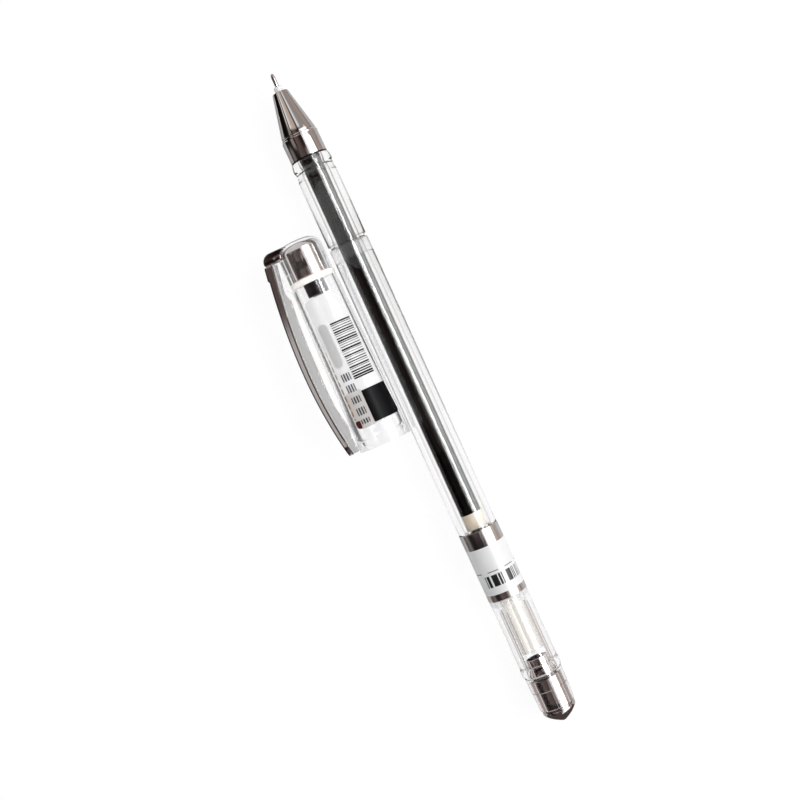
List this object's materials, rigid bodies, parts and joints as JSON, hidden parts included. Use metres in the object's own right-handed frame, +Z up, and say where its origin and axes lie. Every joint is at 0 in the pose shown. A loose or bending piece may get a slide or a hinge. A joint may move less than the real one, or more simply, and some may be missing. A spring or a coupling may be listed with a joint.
{
  "type": "ballpoint pen",
  "caption": "Slim capped gel pen lying beside its cap: clear barrel, needle point, chromed nose and tail plug, clear tapered cap with a sprung chromed clip.",
  "frame": {"origin": "centre of the footprint of the pen and its cap, on the surface that they lie on", "axes": "+X from the writing point to the tail, +Y from the cap to the barrel, +Z up from the table"},
  "size_m": [0.1436, 0.0234, 0.0112],
  "materials": {
    "carbide": "ground and polished tungsten carbide",
    "needle_steel": "drawn stainless tube, satin",
    "holder_plastic": "whitish translucent acetal, smooth",
    "refill_plastic": "clear polypropylene tube, smooth",
    "ink": "black gel ink, wet",
    "follower_grease": "pale yellow grease, clear",
    "chrome_nose": "bright chromed, mirror-like",
    "clear_barrel": "clear moulded styrene, polished",
    "label_film": "printed film, semi-gloss",
    "chrome_plug": "bright chromed, mirror-like",
    "clear_cap": "clear moulded styrene, polished",
    "chrome_insert": "bright chromed, mirror-like",
    "seal_ring": "ivory plastic, smooth",
    "soft_liner": "soft translucent elastomer, matt",
    "chrome_clip": "bright chromed, mirror-like"
  },
  "bodies": {
    "barrel": {"barrel_grip": "clear_barrel", "barrel_tube": "clear_barrel", "barrel_label": "label_film", "tail_plug": "chrome_plug"},
    "refill": {"refill_tube": "refill_plastic", "ink_column": "ink", "ink_follower": "follower_grease", "needle_holder": "holder_plastic", "needle_tube": "needle_steel"},
    "nose": {"nose_cone": "chrome_nose"},
    "ball": {"needle_ball": "carbide"},
    "cap": {"cap_shell": "clear_cap", "cap_insert": "chrome_insert", "cap_seal_ring": "seal_ring", "needle_seal": "soft_liner", "cap_label": "label_film"},
    "clip": {"clip_strip": "chrome_clip", "clip_arm": "clear_cap"}
  },
  "joints": [
    {"name": "refill_out", "type": "slide", "parent": "barrel", "child": "refill", "axis": [-1, 0, 0], "range_m": [0, 0.118]},
    {"name": "nose_off", "type": "slide", "parent": "refill", "child": "nose", "axis": [-1, 0, 0], "range_m": [0, 0.03]},
    {"name": "ball_roll", "type": "hinge", "parent": "refill", "child": "ball", "pos_m": [-0.07157, 0.00753, 0.0042], "axis": [0, 1, 0], "continuous": true},
    {"name": "cap_away", "type": "slide", "parent": "barrel", "child": "cap", "axis": [-1, 0, 0], "range_m": [0, 0.085]},
    {"name": "clip_flex", "type": "hinge", "parent": "cap", "child": "clip", "pos_m": [-0.03633, -0.00933, 0.00473], "axis": [0.0208, 0, -0.9998], "range_deg": [0, 4], "stiffness_Nm_per_rad": 0.3}
  ]
}
